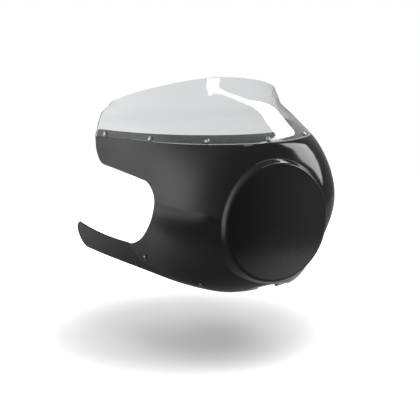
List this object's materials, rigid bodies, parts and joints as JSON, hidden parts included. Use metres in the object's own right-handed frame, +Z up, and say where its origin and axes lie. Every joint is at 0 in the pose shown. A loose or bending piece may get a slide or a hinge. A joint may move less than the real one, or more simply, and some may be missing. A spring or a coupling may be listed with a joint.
{
  "type": "headlight cowl",
  "caption": "Gloss black quarter fairing with a round headlight blank, a clear flicked-up windscreen, handlebar notches and a lower chin panel.",
  "frame": {"origin": "centre of the flat round headlight blank's outer face", "axes": "-Y forwards out of the blank, +Y to the rider, +X to the bike's left, +Z up"},
  "size_m": [0.4134, 0.419, 0.3684],
  "materials": {
    "gloss_black_abs": "gloss",
    "clear_acrylic": "clear polished",
    "stainless_steel": "bright",
    "black_steel": "black oxide",
    "clear_nylon": "natural",
    "black_nylon": "matt"
  },
  "bodies": {
    "root": {"main_shell": "gloss_black_abs", "windscreen": "clear_acrylic", "lower_panel": "gloss_black_abs", "windscreen_screws": "stainless_steel", "windscreen_washers": "clear_nylon", "windscreen_backing_washers": "stainless_steel", "windscreen_nuts": "stainless_steel", "lower_panel_screws": "black_steel", "lower_panel_washers": "black_nylon", "lower_panel_backing_washers": "stainless_steel", "lower_panel_nuts": "stainless_steel"}
  },
  "joints": []
}
